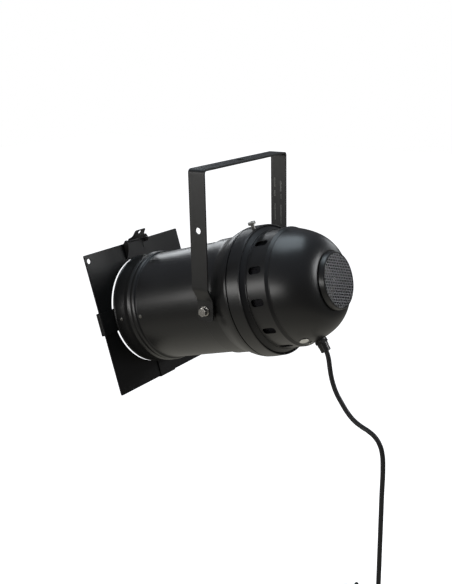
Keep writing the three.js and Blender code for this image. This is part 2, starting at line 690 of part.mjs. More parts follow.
function coilTie() {
  const { r, turns, pitch, drop, back } = COIL;
  const [near, far, thick] = [-CORD_R - GAP, turns * pitch + CORD_R + GAP, 1.4];
  const [inner, outer] = [r - CORD_R - 1, r + CORD_R + GAP];
  const loop = cut(
    block(near - thick, far + thick, -2.4, 2.4, inner - thick, outer + thick),
    block(near, far, -3, 3, inner, outer),
  );
  return join(loop, block(8, 15, -3.4, 3.4, outer + 0.4, outer + 4.6)).translate([0, back - r, -drop]);
}

function onTail(body) {
  const { turns, pitch, drop, back } = COIL;
  return body.rotate([-90, 0, 0]).translate([turns * pitch, back, -drop]);
}

function cordTail() {
  return onTail(rod(CORD_R, 26.5, PLUG.boot - GAP, 10));
}

function plugBody() {
  const { boot, shell, r, body } = PLUG;
  return onTail(turned([
    [0, boot], [5.2, boot], [7.5, shell - 4], [r - 4, shell], [r, shell + 5], [r, shell + body - 2],
    [r - 1.5, shell + body], [0, shell + body],
  ], 24));
}

function plugPin(side) {
  const { shell, body, pinR, pinLong, pinSpread } = PLUG;
  const foot = shell + body + GAP;
  const tip = foot + pinLong;
  const pin = turned([[0, foot], [pinR, foot], [pinR, tip - 1], [pinR - 1, tip], [0, tip]], 12);
  return onTail(pin.translate([side * pinSpread, 0, 0]));
}

// ---------- assembly ----------
function rivets() {
  return bracketTurns().flatMap(([turn, name, , shift]) => BRACKET.rivets.map((place, i) => {
    const wall = i === 0 ? RIM.bandR : CAN.barrelR;
    const foot = BRACKET.footR - BRACKET.thick;
    const { shank, head, high } = RIVET;
    const body = turned([
      [0, foot - 1.4], [3.2, foot - 1.4], [3.2, foot - 0.6], [shank, foot - 0.6], [shank, wall + GAP],
      [head, wall + GAP], [head - 0.8, wall + high - 0.3], [1.4, wall + high], [0, wall + high],
    ], 10);
    return piece(`rivet_${name}_${i + 1}`, outOfCan(body, 0, place, turn + rivetTurn(shift)), BLACK);
  }));
}

function canPieces() {
  const brackets = bracketTurns().slice(0, 3).map(([turn, name, wall, shift]) => (
    piece(`frame_bracket_${name}`, frameBracket(turn, wall, shift), BLACK)
  ));
  const { wide, at, rise } = LATCH;
  const pin = alongX(rod(LATCH.pin, -wide / 2 - 1, wide / 2 + 1, 10), 1).translate([0, at, rise]);
  return [
    piece('barrel', barrel(), BLACK),
    piece('lamp_housing', lampHousing(), BLACK),
    ...brackets,
    piece('latch_bracket', latchBracket(), BLACK),
    ...rivets(),
    piece('latch_pin', pin, ZINC),
    piece('latch_spring', latchSpring(), DARK_STEEL),
    piece('latch_flap', latchFlap(), DARK_STEEL),
    piece('filter_frame', filterFrame(), BLACK),
    piece('lamp_envelope', lampEnvelope(), LAMP_GLASS),
    piece('lamp_base', lampBase(), CERAMIC),
    piece('lamp_pin_1', lampPin(1), ZINC),
    piece('lamp_pin_2', lampPin(-1), ZINC),
    piece('lamp_retaining_ring', retainingRing(), ZINC),
  ];
}

function rearPieces() {
  return [
    piece('rear_cap', rearCap(), BLACK),
    piece('collar_ring', collarRing(), BLACK),
    piece('light_baffle', lightBaffle(), DARK_STEEL),
    piece('grille_ring', grilleRing(), BLACK),
    piece('rear_grille', rearGrille(), MESH_METAL),
    piece('lampholder', lampholder(), CERAMIC),
    piece('lampholder_bar', holderBar(), DARK_STEEL),
    piece('lampholder_screw_1', holderScrew(1), ZINC),
    piece('lampholder_screw_2', holderScrew(-1), ZINC),
    piece('thumbscrew', thumbscrew(), ZINC),
    piece('gland_body', glandBody(), PLASTIC),
    piece('gland_nut', glandNut(), PLASTIC),
    piece('gland_seal', glandSeal(), RUBBER),
    piece('gland_locknut', glandLocknut(), PLASTIC),
    piece('earth_screw', earthScrew(), BRASS),
    piece('round_label', roundLabel(), FOIL),
    ...innerWires(),
  ];
}

function cordPieces() {
  return [
    piece('cord', cord(), RUBBER),
    piece('cord_coil', coilRing(), RUBBER),
    piece('coil_tie', coilTie(), PLASTIC),
    piece('cord_tail', cordTail(), RUBBER),
    piece('plug_body', plugBody(), PLASTIC),
    piece('plug_pin_1', plugPin(1), ZINC),
    piece('plug_pin_2', plugPin(-1), ZINC),
  ];
}

const light = new THREE.Group();
light.add(piece('yoke', yoke(), BLACK));

const axis = new THREE.Group();
axis.position.set(0, 0, -YOKE.drop);
axis.add(...tiltStack(1, 'left'), ...tiltStack(-1, 'right'), ...cordPieces());
light.add(axis);

const can = new THREE.Group();
can.rotation.x = TILT;
can.add(...canPieces(), ...rearPieces());
axis.add(can);

export default light;
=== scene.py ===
from math import atan2, cos, degrees, pi, radians, sin, sqrt, tan

import bmesh
import bpy
from mathutils import Matrix, Vector


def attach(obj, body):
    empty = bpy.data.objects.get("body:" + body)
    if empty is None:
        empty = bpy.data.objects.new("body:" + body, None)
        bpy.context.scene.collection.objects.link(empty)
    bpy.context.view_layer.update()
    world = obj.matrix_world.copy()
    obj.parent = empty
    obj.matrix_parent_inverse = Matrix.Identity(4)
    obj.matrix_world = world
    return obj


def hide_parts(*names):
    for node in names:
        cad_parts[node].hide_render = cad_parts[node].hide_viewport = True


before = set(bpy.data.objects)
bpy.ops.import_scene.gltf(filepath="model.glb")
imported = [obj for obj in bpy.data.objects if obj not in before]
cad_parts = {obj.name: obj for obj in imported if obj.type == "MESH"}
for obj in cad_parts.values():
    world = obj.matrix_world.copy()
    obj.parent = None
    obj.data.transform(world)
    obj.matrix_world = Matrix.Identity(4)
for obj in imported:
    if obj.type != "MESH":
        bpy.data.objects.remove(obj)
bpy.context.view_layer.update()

# ---------- places ----------
# Shapes are drawn in millimetres. The can's own frame has Y back along the can and Z up out of it.
PIVOT_DROP = 0.227
CAN_TILT = 15.7
MM = Matrix.Scale(0.001, 4)
PIVOT = Matrix.Translation((0, 0, -PIVOT_DROP)) @ MM
CAN = Matrix.Translation((0, 0, -PIVOT_DROP)) @ Matrix.Rotation(radians(CAN_TILT), 4, "X") @ MM
ROW = MM

# The cap's dome is part of a superellipse: its radius, centre, half length and power.
DOME_R, DOME_CENTRE, DOME_LONG, DOME_POWER = 115.9, -373.2, 554.7, 4.42


def rot(angle, axis):
    return Matrix.Rotation(radians(angle), 4, axis)


def move(x, y, z):
    return Matrix.Translation((x, y, z))


def out_of_can(r, place, turn, lean=0.0):
    """Y axis to a line out of the can, with its foot at that radius and place, turned from the top to +X."""
    return rot(turn, "Y") @ move(0, place, r) @ rot(90 - lean, "X")


def along_x(side):
    return rot(-90 if side > 0 else 90, "Z")


def dome_r(place):
    return DOME_R * (1 - ((place - DOME_CENTRE) / DOME_LONG) ** DOME_POWER) ** (1 / DOME_POWER)


def dome_lean(place):
    return atan2(dome_r(place - 2) - dome_r(place + 2), 4) * 180 / pi


def on_dome(place, turn):
    return out_of_can(dome_r(place), place, turn, dome_lean(place))


# Places along the can, each with its turn from the top.
EARTH = (127.5, 162.5)
SCREW = (69, 11)
LABEL = (129, 150)
GLAND_AT, GLAND_LEAN = 129.5, 16
GLAND_PLACE = out_of_can(dome_r(GLAND_AT), GLAND_AT, 180, GLAND_LEAN)


# ---------- mesh helpers ----------
def raw(verts, faces):
    mesh = bpy.data.meshes.new("raw")
    mesh.from_pydata([tuple(v) for v in verts], [], [tuple(f) for f in faces])
    work = bmesh.new()
    work.from_mesh(mesh)
    bmesh.ops.remove_doubles(work, verts=work.verts, dist=1e-4)
    bmesh.ops.dissolve_degenerate(work, edges=work.edges, dist=1e-5)
    bmesh.ops.recalc_face_normals(work, faces=work.faces)
    work.to_mesh(mesh)
    work.free()
    obj = bpy.data.objects.new("raw", mesh)
    bpy.context.scene.collection.objects.link(obj)
    return obj


def baked(obj):
    """The object with its modifiers applied."""
    bpy.context.view_layer.update()
    graph = bpy.context.evaluated_depsgraph_get()
    mesh = bpy.data.meshes.new_from_object(obj.evaluated_get(graph))
    obj.modifiers.clear()
    obj.data = mesh
    return obj


def cut(obj, *tools, how="DIFFERENCE"):
    for tool in tools:
        step = obj.modifiers.new("cut", "BOOLEAN")
        step.operation = how
        step.solver = "EXACT"
        step.object = tool
    baked(obj)
    for tool in tools:
        bpy.data.objects.remove(tool)
    return obj


def soften(obj, width=0.4, steps=2, angle=40):
    step = obj.modifiers.new("edge", "BEVEL")
    step.width = width
    step.segments = steps
    step.limit_method = "ANGLE"
    step.angle_limit = radians(angle)
    return baked(obj)


def shifted(obj, matrix):
    obj.data.transform(matrix)
    return obj


def joined(*objs):
    work = bmesh.new()
    for obj in objs:
        work.from_mesh(obj.data)
    work.to_mesh(objs[0].data)
    work.free()
    for obj in objs[1:]:
        bpy.data.objects.remove(obj)
    return objs[0]


def rounded(points, closed=True, steps=4):
    """A polyline with its corners rounded: each point is (a, b) or (a, b, radius)."""
    out = []
    last = len(points) - 1
    for i, point in enumerate(points):
        here = Vector(point[:2])
        r = point[2] if len(point) > 2 else 0
        if not r or (not closed and i in (0, last)):
            out.append(tuple(here))
            continue
        back = Vector(points[i - 1][:2]) - here
        on = Vector(points[(i + 1) % len(points)][:2]) - here
        angle = back.angle(on)
        reach = min(r / tan(angle / 2), 0.49 * back.length, 0.49 * on.length)
        start = here + back.normalized() * reach
        end = here + on.normalized() * reach
        for k in range(steps + 1):
            t = k / steps
            out.append(tuple((1 - t) ** 2 * start + 2 * t * (1 - t) * here + t * t * end))
    return out


def lathe(outline, sides=128, turn_from=0.0, turn_to=360.0):
    """A body of revolution about Y from (radius, place) pairs, whole or a part turn."""
    whole = turn_to - turn_from >= 359.9
    count = sides if whole else sides + 1
    closed = outline[0][0] > 1e-6 or outline[-1][0] > 1e-6
    verts, rows = [], []
    for r, place in outline:
        if r < 1e-6:
            rows.append([len(verts)] * count)
            verts.append((0, place, 0))
            continue
        rows.append(list(range(len(verts), len(verts) + count)))
        for k in range(count):
            a = radians(turn_from + (turn_to - turn_from) * k / sides)
            verts.append((r * sin(a), place, r * cos(a)))
    faces = []
    pairs = list(zip(rows, rows[1:]))
    if closed:
        pairs.append((rows[-1], rows[0]))
    for a, b in pairs:
        for k in range(count if whole else count - 1):
            n = (k + 1) % count
            ring = list(dict.fromkeys([a[k], a[n], b[n], b[k]]))
            if len(ring) > 2:
                faces.append(ring)
    if not whole:
        faces.append([row[0] for row in rows])
        faces.append([row[-1] for row in rows])
    return raw(verts, faces)


def slab(outline, low, high, plane="XY"):
    """A flat outline made thick. In plane XZ it is thick along Y, in YZ along X."""
    place = {
        "XY": lambda a, b, t: (a, b, t),
        "XZ": lambda a, b, t: (a, t, b),
        "YZ": lambda a, b, t: (t, a, b),
    }[plane]
    n = len(outline)
    verts = [place(a, b, low) for a, b in outline] + [place(a, b, high) for a, b in outline]
    faces = [tuple(range(n)), tuple(range(n, 2 * n))]
    faces += [(i, (i + 1) % n, n + (i + 1) % n, n + i) for i in range(n)]
    return raw(verts, faces)


def box(x0, x1, y0, y1, r, steps=4):
    """The outline of a rectangle with its corners rounded."""
    return rounded([(x0, y0, r), (x1, y0, r), (x1, y1, r), (x0, y1, r)], steps=steps)


def block(x0, x1, y0, y1, z0, z1):
    return slab([(x0, y0), (x1, y0), (x1, y1), (x0, y1)], z0, z1)


def rod(r, low, high, sides=48, edge=0.0):
    """A rod along Y with its rims rounded."""
    return lathe(rounded([(0, low), (r, low, edge), (r, high, edge), (0, high)], closed=False), sides)


def ring(r, bore, low, high, sides=64, edge=0.25):
    return lathe(rounded([(bore, low, edge), (r, low, edge), (r, high, edge), (bore, high, edge)]), sides)


def sheet_outline(path, thick):
    """The closed outline of a bent sheet from its middle line."""
    sides = ([], [])
    for i, here in enumerate(path):
        here = Vector(here)
        before = here - Vector(path[i - 1]) if i else Vector(path[1]) - here
        after = Vector(path[i + 1]) - here if i + 1 < len(path) else before
        along = (before.normalized() + after.normalized()).normalized()
        across = Vector((-along.y, along.x))
        reach = thick / 2 / max(0.5, across.dot(Vector((-after.y, after.x)).normalized()))
        sides[0].append(tuple(here + across * reach))
        sides[1].append(tuple(here - across * reach))
    return sides[0] + sides[1][::-1]


def hexagon(size, low, high, chamfer=1.0, sides=6):
    """A hexagonal prism along Y, across flats, with its outer corners turned off at the high end."""
    r = size / 2 / cos(pi / sides)
    outline = [(r * sin(2 * pi * k / sides), r * cos(2 * pi * k / sides)) for k in range(sides)]
    body = slab(outline, low, high, "XZ")
    shoulder = [(r + 1, high - chamfer * 0.6), (size / 2 - 0.2, high)]
    cone = lathe([(0, low - 1), (r + 1, low - 1), *shoulder, (0, high)], 48)
    return cut(body, cone, how="INTERSECT")


def smooth(obj, angle=32):
    for face in obj.data.polygons:
        face.use_smooth = True
    obj.data.set_sharp_from_angle(angle=radians(angle))
    step = obj.modifiers.new("shade", "WEIGHTED_NORMAL")
    step.keep_sharp = True
    return baked(obj)


def piece(name, obj, place, body, material, cad=(), angle=32):
    """Names a drawn shape, puts it in place and hands it to a body, in place of its CAD nodes."""
    obj.data.transform(place)
    obj.name = name
    obj.data.name = name
    smooth(obj, angle)
    obj.data.materials.clear()
    obj.data.materials.append(material)
    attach(obj, body)
    if cad:
        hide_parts(*([cad] if isinstance(cad, str) else cad))
    return obj


# ---------- materials ----------
class Look:
    """A node material on the principled shader, in the row's own coordinates."""

    def __init__(self, name, slot, color, rough, metal=0.0, **sockets):
        self.mat = bpy.data.materials.new(name)
        self.mat.use_nodes = True
        self.mat["slot"] = slot
        self.mat.diffuse_color = (*color, 1)
        self.tree = self.mat.node_tree
        self.shader = self.tree.nodes["Principled BSDF"]
        self.shader.inputs["Base Color"].default_value = (*color, 1)
        self.shader.inputs["Roughness"].default_value = rough
        self.shader.inputs["Metallic"].default_value = metal
        for key, value in sockets.items():
            self.shader.inputs[key.replace("_", " ")].default_value = value
        self.coord = self.node("ShaderNodeTexCoord").outputs["Object"]
        self.normal = None

    def node(self, kind, **values):
        made = self.tree.nodes.new(kind)
        for key, value in values.items():
            if hasattr(made, key):
                setattr(made, key, value)
            else:
                made.inputs[key.replace("_", " ")].default_value = value
        return made

    def link(self, a, b):
        self.tree.links.new(a, b)

    def noise(self, scale, detail=3.0, rough=0.55, stretch=None):
        made = self.node("ShaderNodeTexNoise", Scale=scale, Detail=detail, Roughness=rough)
        source = self.coord
        if stretch:
            mapping = self.node("ShaderNodeMapping")
            mapping.inputs["Scale"].default_value = stretch
            self.link(source, mapping.inputs["Vector"])
            source = mapping.outputs["Vector"]
        self.link(source, made.inputs["Vector"])
        return made.outputs["Fac"]

    def spread(self, value, low, high, start=0.3, end=0.7):
        made = self.node("ShaderNodeMapRange", From_Min=start, From_Max=end, To_Min=low, To_Max=high)
        self.link(value, made.inputs["Value"])
        return made.outputs["Result"]

    def color(self, value, dark, light):
        mix = self.node("ShaderNodeMix", data_type="RGBA")
        colors = [s for s in mix.inputs if s.type == "RGBA"]
        colors[0].default_value = (*dark, 1)
        colors[1].default_value = (*light, 1)
        self.link(value, mix.inputs[0])
        self.link([s for s in mix.outputs if s.type == "RGBA"][0], self.shader.inputs["Base Color"])
        return self

    def rough(self, value, low, high, start=0.3, end=0.7):
        self.link(self.spread(value, low, high, start, end), self.shader.inputs["Roughness"])
        return self

    def bump(self, height, strength, distance):
        made = self.node("ShaderNodeBump", Strength=strength, Distance=distance)
        self.link(height, made.inputs["Height"])
        if self.normal:
            self.link(self.normal, made.inputs["Normal"])
        self.normal = made.outputs["Normal"]
        self.link(self.normal, self.shader.inputs["Normal"])
        return self


def coat(name="black_powder_coat", light=1.0, low=0.29, high=0.34):
    look = Look(name, "black_coat", (0.011, 0.011, 0.011), 0.4)
    tones = (0.0102, 0.0101, 0.0100), (0.0122, 0.0121, 0.0119)
    dark, pale = [tuple(c * light for c in tone) for tone in tones]
    look.color(look.spread(look.noise(7, 3), 0, 1), dark, pale)
    look.rough(look.noise(14, 3, 0.5), low, high)
    look.bump(look.noise(900, 2, 0.5), 0.14, 0.00006)
    look.bump(look.noise(190, 2, 0.5), 0.06, 0.0001)
    return look.mat


def turned_metal(name, slot, color, rough, grain=(60, 3000, 60)):
    look = Look(name, slot, color, rough, 1.0)
    dark = tuple(c * 0.78 for c in color)
    look.color(look.spread(look.noise(160, 3), 0, 1), dark, color)
    look.rough(look.noise(420, 4, 0.7), rough * 0.75, rough * 1.35)
    look.bump(look.noise(1, 2, 0.6, grain), 0.2, 0.00002)
    return look.mat


def moulded(name, slot, color, low, high, grain=1100, depth=0.2):
    look = Look(name, slot, color, (low + high) / 2)
    dark, pale = [tuple(c * share for c in color) for share in (0.75, 1.25)]
    look.color(look.spread(look.noise(40, 4), 0, 1), dark, pale)
    look.rough(look.noise(90, 4, 0.6), low, high)
    look.bump(look.noise(grain, 2), depth, 0.00005)
    return look.mat


COAT = coat()
YOKE_COAT = coat("yoke_powder_coat", 1.1, 0.4, 0.46)
DARK = moulded("blackened_steel", "dark_steel", (0.02, 0.02, 0.021), 0.32, 0.5, 700, 0.2)
RIVET = turned_metal("dull_rivet", "black_coat", (0.21, 0.205, 0.19), 0.42)
NICKEL = turned_metal("dull_nickel", "zinc", (0.46, 0.45, 0.42), 0.36)
ZINC = turned_metal("bright_zinc", "zinc", (0.74, 0.72, 0.68), 0.26)
GRILLE = turned_metal("perforated_sheet", "grille_metal", (0.33, 0.33, 0.34), 0.42, (500, 500, 500))
RUBBER = moulded("cord_rubber", "rubber", (0.012, 0.012, 0.0125), 0.42, 0.6, 800, 0.25)
PLASTIC = moulded("black_nylon", "black_plastic", (0.012, 0.012, 0.0125), 0.3, 0.45, 1300, 0.18)
FIBRE = moulded("pressed_fibre", "fibre", (0.03, 0.028, 0.026), 0.75, 0.95, 600, 0.5)
CERAMIC = moulded("smoked_ceramic", "ceramic", (0.16, 0.145, 0.12), 0.4, 0.4, 300, 0.1)
FOIL = turned_metal("plain_foil", "foil", (0.72, 0.72, 0.7), 0.34, (300, 300, 300))


def wire_look(name, slot, color):
    return moulded(name, slot, color, 0.35, 0.5, 900, 0.15)


def pierced_look_with_hole_shade():
    look = Look("pierced_steel_painted_hole_shade", "dark_steel", (0.004, 0.004, 0.005), 0.7, Specular_IOR_Level=0.12)
    cells = look.node("ShaderNodeTexVoronoi", Scale=420)
    look.link(look.coord, cells.inputs["Vector"])
    # The pierced pattern is the sheet's own. The holes are painted near black as painted shade of the dark
    # space seen through them.
    holes = look.spread(cells.outputs["Distance"], 0, 1, 0.25, 0.45)
    look.color(holes, (0.0006, 0.0006, 0.0008), (0.012, 0.012, 0.014))
    look.rough(look.noise(90, 3), 0.65, 0.85)
    look.bump(cells.outputs["Distance"], 0.5, 0.0004)
    return look.mat


def lens_look():
    look = Look("lamp_lens_glass", "lamp_glass", (0.86, 0.9, 0.92), 0.08)
    look.shader.inputs["Coat Weight"].default_value = 0.6
    look.shader.inputs["Metallic"].default_value = 0.35
    cells = look.node("ShaderNodeTexVoronoi", Scale=110)
    look.link(look.coord, cells.inputs["Vector"])
    look.color(look.spread(cells.outputs["Distance"], 0, 1, 0.0, 0.7), (0.5, 0.54, 0.56), (0.9, 0.93, 0.95))
    look.rough(look.noise(60, 3), 0.06, 0.16)
    look.bump(cells.outputs["Distance"], 0.8, 0.0012)
    return look.mat


def mirror_look():
    look = Look("silvered_glass", "lamp_glass", (0.3, 0.3, 0.31), 0.2, 1.0)
    look.color(look.spread(look.noise(30, 4), 0, 1), (0.66, 0.67, 0.69), (0.84, 0.85, 0.86))
    look.rough(look.noise(50, 4), 0.08, 0.2)
    look.bump(look.noise(45, 3), 0.15, 0.0006)
    return look.mat


LENS = lens_look()
MESH = pierced_look_with_hole_shade()
MIRROR = mirror_look()

# ---------- camera ----------
camera = bpy.data.objects.new("camera", bpy.data.cameras.new("camera"))
bpy.context.scene.collection.objects.link(camera)
camera.data.lens = 49.46
camera.data.sensor_fit = "VERTICAL"
camera.data.sensor_width = 36
camera.data.sensor_height = 36
camera.data.clip_end = 60
right = Vector((-0.573375, 0.818973, -0.022912))
up = Vector((-0.250655, -0.148726, 0.956584))
back = Vector((0.780009, 0.554224, 0.290555))
turned = Matrix((right, up, back)).transposed().to_4x4()
camera.matrix_world = Matrix.Translation((1.075619, 0.729574, 0.172035)) @ turned
bpy.context.scene.camera = camera

# ---------- mains cord ----------
# The route in the X = 0 plane, as (back, up) from the tilt axis in metres, from the gland down to the coil.
CORD_R = 0.004
ROUTE = [
    (0.1537, -0.0599), (0.1610, -0.0718), (0.1646, -0.0825), (0.1670, -0.0970), (0.1694, -0.1100),
    (0.1728, -0.1225), (0.1802, -0.1401), (0.1899, -0.1549), (0.1998, -0.1682), (0.2124, -0.1800),
    (0.2260, -0.1873), (0.2385, -0.1922), (0.2500, -0.1995), (0.2585, -0.2110), (0.2632, -0.2260),
    (0.2650, -0.2450), (0.2650, -0.3000), (0.2650, -0.3800), (0.2650, -0.4700),
]
TAIL_BACK = 0.265
COIL_R, COIL_PITCH, COIL_TURNS = 0.041, 0.0082, 3
COIL_BACK, COIL_UP = TAIL_BACK - COIL_R, -0.530
COIL_STEPS = 16


def cord_points():
    points = [Vector((0, y, z)) for y, z in ROUTE]
    for i in range(COIL_TURNS * COIL_STEPS + 1):
        a = 2 * pi * i / COIL_STEPS
        back_by, up_by = COIL_R * cos(a), COIL_R * sin(a)
        points.append(Vector((COIL_PITCH * i / COIL_STEPS, COIL_BACK + back_by, COIL_UP - up_by)))
    x = COIL_PITCH * COIL_TURNS
    points += [Vector((x, TAIL_BACK, COIL_UP - below)) for below in (0.018, 0.0415)]
    return [p + Vector((0, 0, -PIVOT_DROP)) for p in points]


def curve_of(name, points, r, material, resolution=5):
    data = bpy.data.curves.new(name, "CURVE")
    data.dimensions = "3D"
    data.bevel_depth = r
    data.bevel_resolution = 6
    data.resolution_u = resolution
    data.use_fill_caps = True
    line = data.splines.new("BEZIER")
    line.bezier_points.add(len(points) - 1)
    for knot, point in zip(line.bezier_points, points):
        knot.co = point
        knot.handle_left_type = knot.handle_right_type = "AUTO"
    obj = bpy.data.objects.new(name, data)
    bpy.context.scene.collection.objects.link(obj)
    data.materials.append(material)
    return obj


path = cord_points()
mains_cord = curve_of("mains_cord", path, CORD_R, RUBBER)
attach(mains_cord, "rear_cap")
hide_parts("cord", "cord_coil", "cord_tail")


def tail_place():
    """Y axis down the cord's tail, from the coil's side."""
    foot = move(COIL_PITCH * COIL_TURNS * 1000, TAIL_BACK * 1000, COIL_UP * 1000)
    return PIVOT @ foot @ rot(-90, "X")


def make_plug():
    boot = [(0, 42.3), (5.0, 42.3, 0.6)]
    for i in range(4):
        y = 44.2 + 3.6 * i
        ridge = 5.2 + 0.7 * i
        boot += [(ridge, y, 0.3), (ridge - 0.9, y + 0.9, 0.3), (ridge - 0.9, y + 2.2, 0.3)]
    shell = [
        (9.5, 58.4, 2), (13.6, 62, 2.5), (17.9, 67, 3), (17.9, 94, 1.2), (16.4, 95.9, 0.6), (0, 95.9),
    ]
    body = lathe(rounded(boot + shell, closed=False), 72)
    grips = []
    for k in range(5):
        for side in (-1, 1):
            grip_place = move(side * 18.2, 72 + 4 * k, 0) @ rot(90, "X")
            grips.append(shifted(rod(1.1, -9, 9, 12), grip_place))
    body = cut(body, *grips)
    body = cut(body, ring(15.2, 14.4, 95.2, 96.4, 64, 0.1))
    plug = piece("plug_shell", body, tail_place(), "rear_cap", PLASTIC, "plug_body")
    pins = []
    for i, side in enumerate((1, -1)):
        outline = [(0, 96.3), (2.4, 96.3, 0.1), (2.4, 113.5, 1.0), (1.2, 115.3, 0.4), (0, 115.3)]
        pin = shifted(lathe(rounded(outline, closed=False), 32), move(side * 9.5, 0, 0))
        name = f"plug_prong_{i + 1}"
        pins.append(piece(name, pin, tail_place(), "rear_cap", ZINC, f"plug_pin_{i + 1}"))
    return [plug, *pins]


def make_tie():
    """A hook and loop band round the turns, with its tab."""
    near, far = -4.4, 28.8
    inner, outer = 36.2, 45.3
    thick, half = 1.2, 2.3
    band = slab(box(near - thick, far + thick, inner - thick, outer + thick, 3), -half, half, "XZ")
    band = cut(band, slab(box(near, far, inner, outer, 2.5), -half - 1, half + 1, "XZ"))
    foot, top = outer + 0.9, outer + 4.3
    tab = rounded([(8.2, foot, 0.5), (14.8, foot, 0.5), (14.8, top, 0.8), (8.2, top, 0.8)])
    tab = slab(tab, -3.3, 3.3, "XZ")
    tie = soften(joined(band, tab), 0.25, 2)
    place = PIVOT @ move(0, COIL_BACK * 1000, COIL_UP * 1000)
    return piece("coil_band", tie, place, "rear_cap", FIBRE_BAND, "coil_tie")


FIBRE_BAND = moulded("woven_band", "black_plastic", (0.015, 0.015, 0.016), 0.7, 0.95, 1500, 0.6)
on_cord = [*make_plug(), make_tie()]


# ---------- yoke ----------
BOLT_BORE = 4.4


def make_yoke():
    half, thick, drop = 119.5, 3.0, 227.0
    mid = half - thick / 2
    foot_x = mid - 12.4
    side = [(foot_x, -drop - 17), (foot_x, -drop + 18, 12), (mid, -drop + 38, 12), (mid, -thick / 2, 5.5)]
    path2d = rounded(side + [(-x, z, *r) for x, z, *r in reversed(side)], closed=False, steps=8)
    strap = slab(sheet_outline(path2d, thick), -15, 15, "XZ")
    feet = rounded([(-15, -drop - 17, 6), (15, -drop - 17, 6), (15, 20), (-15, 20)], steps=8)
    feet = slab(feet, -150, 150, "YZ")
    strap = cut(strap, feet, how="INTERSECT")
    holes = [
        shifted(rod(6.5, -10, 10, 48), rot(90, "X")),
        shifted(rod(BOLT_BORE, -130, 130, 40), move(0, 0, -drop) @ along_x(1)),
        shifted(rod(5.2, 60, 130, 40), move(0, 0, 132.5 - drop) @ along_x(1)),
    ]
    strap = soften(cut(strap, *holes), 0.45, 2, 50)
    return piece("hanging_yoke", strap, ROW, "yoke", YOKE_COAT, "yoke", 28)


def make_marking():
    """Small pale dashes where the maker's printing would be, with no letters."""
    look = moulded("pale_print", "black_coat", (0.3, 0.3, 0.285), 0.5, 0.7, 500, 0.1)
    blocks = [
        (-7, 174, 3.2, 17), (-7, 155, 2.2, 12), (-6.5, 122, 2.0, 30),
        (5.2, 168, 3.4, 20), (5.5, 150, 1.6, 10), (5.5, 118, 1.6, 34),
    ]
    under, face = -116.46, -116.36
    pitch, bar = 2.1, 1.35
    bars = []
    for y, z, wide, tall in blocks:
        for k in range(int(tall / pitch)):
            foot = -227 + z - tall / 2 + pitch * k
            inset = 0.12 * wide * (k % 3)
            bars.append(block(under, face, y - wide / 2, y + wide / 2 - inset, foot, foot + bar))
    return piece("yoke_marking", joined(*bars), ROW, "yoke", look)


make_yoke()
make_marking()


def make_tilt_stack(side, name):
    """Washers, spring washer, chamfered hex head and friction disc on one side of the tilt axis."""
    place = PIVOT @ along_x(side)
    head = soften(hexagon(13, 111.1, 116.5, 1.1), 0.25, 2, 25)
    bolt = joined(head, rod(4, 83, 112, 40, 0.8), ring(6.1, 4.0, 110.7, 111.2, 48, 0.1))
    piece(f"bolt_{name}", bolt, place, "can", ZINC, f"tilt_bolt_{name}")
    washer = ring(8, BOLT_BORE, 107.3, 108.9, 72, 0.35)
    piece(f"plain_washer_{name}", washer, place, "can", ZINC, f"flat_washer_{name}")
    split = shifted(block(-0.6, 0.6, 108, 112, 3, 12), rot(12, "X"))
    coil = cut(ring(7, BOLT_BORE, 109.2, 110.8, 64, 0.3), split)
    piece(f"split_washer_{name}", coil, place, "can", ZINC, f"spring_washer_{name}")
    disc = ring(12, BOLT_BORE, 98.6, 103.7, 72, 0.6)
    piece(f"friction_pad_{name}", disc, place, "can", FIBRE, f"friction_disc_{name}")


make_tilt_stack(1, "left")
make_tilt_stack(-1, "right")


# ---------- front of the can ----------
RIVET_TURNS = {90 - 2.13: "left", 180: "bottom", 270 + 2.13: "right", 0: "top"}
# The brackets' feet lie in the barrel, between these radii.
FOOT_BORE, FOOT_R = 92.7, 93.9
# Each rivet's place along the can, with the barrel's radius there.
RIVETS = ((-197, 97.8), (-153, 95.6))


def tilt_bores():
    return shifted(rod(BOLT_BORE, -130, 130, 32), along_x(1))


def make_barrel():
    outline = [
        (95, -212.7, 0.5), (98.2, -212.7, 0.9), (98.9, -211.4, 0.7), (98.9, -209.6, 0.7), (98.1, -208.4, 0.8),
        (97.8, -186, 9), (98.6, -181, 3), (99.6, -178.6, 2), (100.0, -176, 3.0), (99.4, -172.4, 2.4),
        (98.6, -170.2, 1.4), (99.2, -167.2, 1.8), (99.4, -164.2, 2.6), (98.2, -161.2, 1.6),
        (95.6, -159.4, 1.2), (95.6, 13, 0.3),
        (94.2, 13, 0.3), (94.2, -158, 3), (95, -162, 2),
    ]
    body = lathe(rounded(outline, steps=5), 160)
    tools = [tilt_bores()]
    for turn in RIVET_TURNS:
        for place, r in RIVETS:
            tools.append(shifted(rod(2.3, -12, 12, 20), out_of_can(r, place, turn)))
    return piece("front_tube", cut(body, *tools), CAN, "can", COAT, "barrel", 30)


def flare(r, start, stops):
    """Points up the housing's flare, from a radius and the place where it starts."""
    points = []
    for i in stops:
        t = i / 12
        rise = 0.55 * t + 0.45 * (1 - cos(pi * t)) / 2
        points.append((r + 10.2 * rise, start + 32 * t))
    return points


def make_housing():
    outer = [(96.2, -17, 0.2), (97.6, -17, 0.5), (98, -16.4, 0.5), (98, 10), *flare(98, 10, range(1, 13))]
    flange = [
        (108.8, 45, 1.5), (108.8, 48.8, 0.5), (105.2, 48.8, 0.2), (105.2, 60, 0.4), (103.6, 60, 0.4),
        (103.6, 53.4, 0.2), (97.5, 53.4, 0.3), (97.5, 50, 0.3), (102.6, 50, 0.2), (102.6, 44, 2),
    ]
    inner = [*flare(96, 11, range(10, 1, -1)), (96, 11), (96, -16.8)]
    body = lathe(rounded(outer + flange + inner), 160)
    body = cut(body, tilt_bores())
    return piece("lamp_end_shell", body, CAN, "can", COAT, "lamp_housing", 30)


